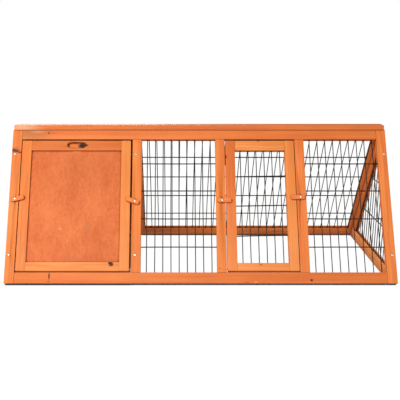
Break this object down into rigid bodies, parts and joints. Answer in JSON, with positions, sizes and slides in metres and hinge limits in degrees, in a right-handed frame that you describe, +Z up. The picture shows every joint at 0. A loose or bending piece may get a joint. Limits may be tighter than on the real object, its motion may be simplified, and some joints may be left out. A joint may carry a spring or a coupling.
{
  "type": "outdoor rabbit run",
  "caption": "Triangular wooden outdoor rabbit run with a boarded hide, a wire mesh run, a ridge cap and drop-down doors held shut by turn-buttons.",
  "frame": {"origin": "on the ground, under the middle of the ridge", "axes": "+X along the ridge with the boarded hide at -X, -Y towards the front with the doors, +Z up"},
  "size_m": [1.2, 0.522, 0.4553],
  "materials": {
    "stained_wood": "softwood with a thin honey-orange stain, satin",
    "stained_plywood": "plywood with the same stain, slightly redder and mottled",
    "mesh_wire": "dark coated welded wire",
    "zinc_steel": "bright zinc-plated"
  },
  "bodies": {
    "frame": {"front_left_stile": "stained_wood", "front_right_stile": "stained_wood", "front_post_1": "stained_wood", "front_post_2": "stained_wood", "front_post_3": "stained_wood", "front_top_rail": "stained_wood", "front_bottom_rail": "stained_wood", "front_mesh_1": "mesh_wire", "front_mesh_2": "mesh_wire", "rear_left_stile": "stained_wood", "rear_right_stile": "stained_wood", "rear_post": "stained_wood", "rear_top_rail": "stained_wood", "rear_bottom_rail": "stained_wood", "rear_board": "stained_plywood", "rear_mesh": "mesh_wire", "left_end_front_rail": "stained_wood", "left_end_rear_rail": "stained_wood", "left_end_bottom_rail": "stained_wood", "left_end_board": "stained_plywood", "right_end_front_rail": "stained_wood", "right_end_rear_rail": "stained_wood", "right_end_bottom_rail": "stained_wood", "right_end_mesh": "mesh_wire", "partition_board": "stained_plywood", "ridge_cap": "stained_wood", "hinge_pin_1": "zinc_steel", "hinge_pin_2": "zinc_steel", "hinge_pin_3": "zinc_steel", "hinge_pin_4": "zinc_steel", "door_stop_1": "stained_wood", "door_stop_2": "stained_wood", "door_stop_3": "stained_wood", "door_stop_4": "stained_wood", "frame_screw_1": "zinc_steel", "frame_screw_2": "zinc_steel", "frame_screw_3": "zinc_steel", "frame_screw_4": "zinc_steel", "frame_screw_5": "zinc_steel", "frame_screw_6": "zinc_steel", "turn_button_screw_1": "zinc_steel", "turn_button_screw_2": "zinc_steel", "turn_button_screw_3": "zinc_steel", "turn_button_screw_4": "zinc_steel"},
    "hide_door": {"hide_door_left_stile": "stained_wood", "hide_door_right_stile": "stained_wood", "hide_door_top_rail": "stained_wood", "hide_door_bottom_rail": "stained_wood", "hide_door_board": "stained_plywood"},
    "mesh_door": {"mesh_door_left_stile": "stained_wood", "mesh_door_right_stile": "stained_wood", "mesh_door_top_rail": "stained_wood", "mesh_door_bottom_rail": "stained_wood", "mesh_door_mesh": "mesh_wire"},
    "button_1": {"turn_button_1": "stained_wood"},
    "button_2": {"turn_button_2": "stained_wood"},
    "button_3": {"turn_button_3": "stained_wood"},
    "button_4": {"turn_button_4": "stained_wood"}
  },
  "joints": [
    {"name": "hide_door_hinge", "type": "hinge", "parent": "frame", "child": "hide_door", "pos_m": [-0.392, -0.23096, 0.04304], "axis": [1, 0, 0], "range_deg": [0, 96]},
    {"name": "mesh_door_hinge", "type": "hinge", "parent": "frame", "child": "mesh_door", "pos_m": [0.193, -0.23096, 0.04304], "axis": [1, 0, 0], "range_deg": [0, 96]},
    {"name": "button_1_turn", "type": "hinge", "parent": "frame", "child": "button_1", "pos_m": [-0.58, -0.1285, 0.2385], "axis": [0, -0.866, 0.5], "continuous": true},
    {"name": "button_2_turn", "type": "hinge", "parent": "frame", "child": "button_2", "pos_m": [-0.204, -0.1325, 0.23157], "axis": [0, -0.866, 0.5], "continuous": true},
    {"name": "button_3_turn", "type": "hinge", "parent": "frame", "child": "button_3", "pos_m": [0.07, -0.1305, 0.23503], "axis": [0, -0.866, 0.5], "continuous": true},
    {"name": "button_4_turn", "type": "hinge", "parent": "frame", "child": "button_4", "pos_m": [0.316, -0.1255, 0.24369], "axis": [0, -0.866, 0.5], "continuous": true}
  ]
}
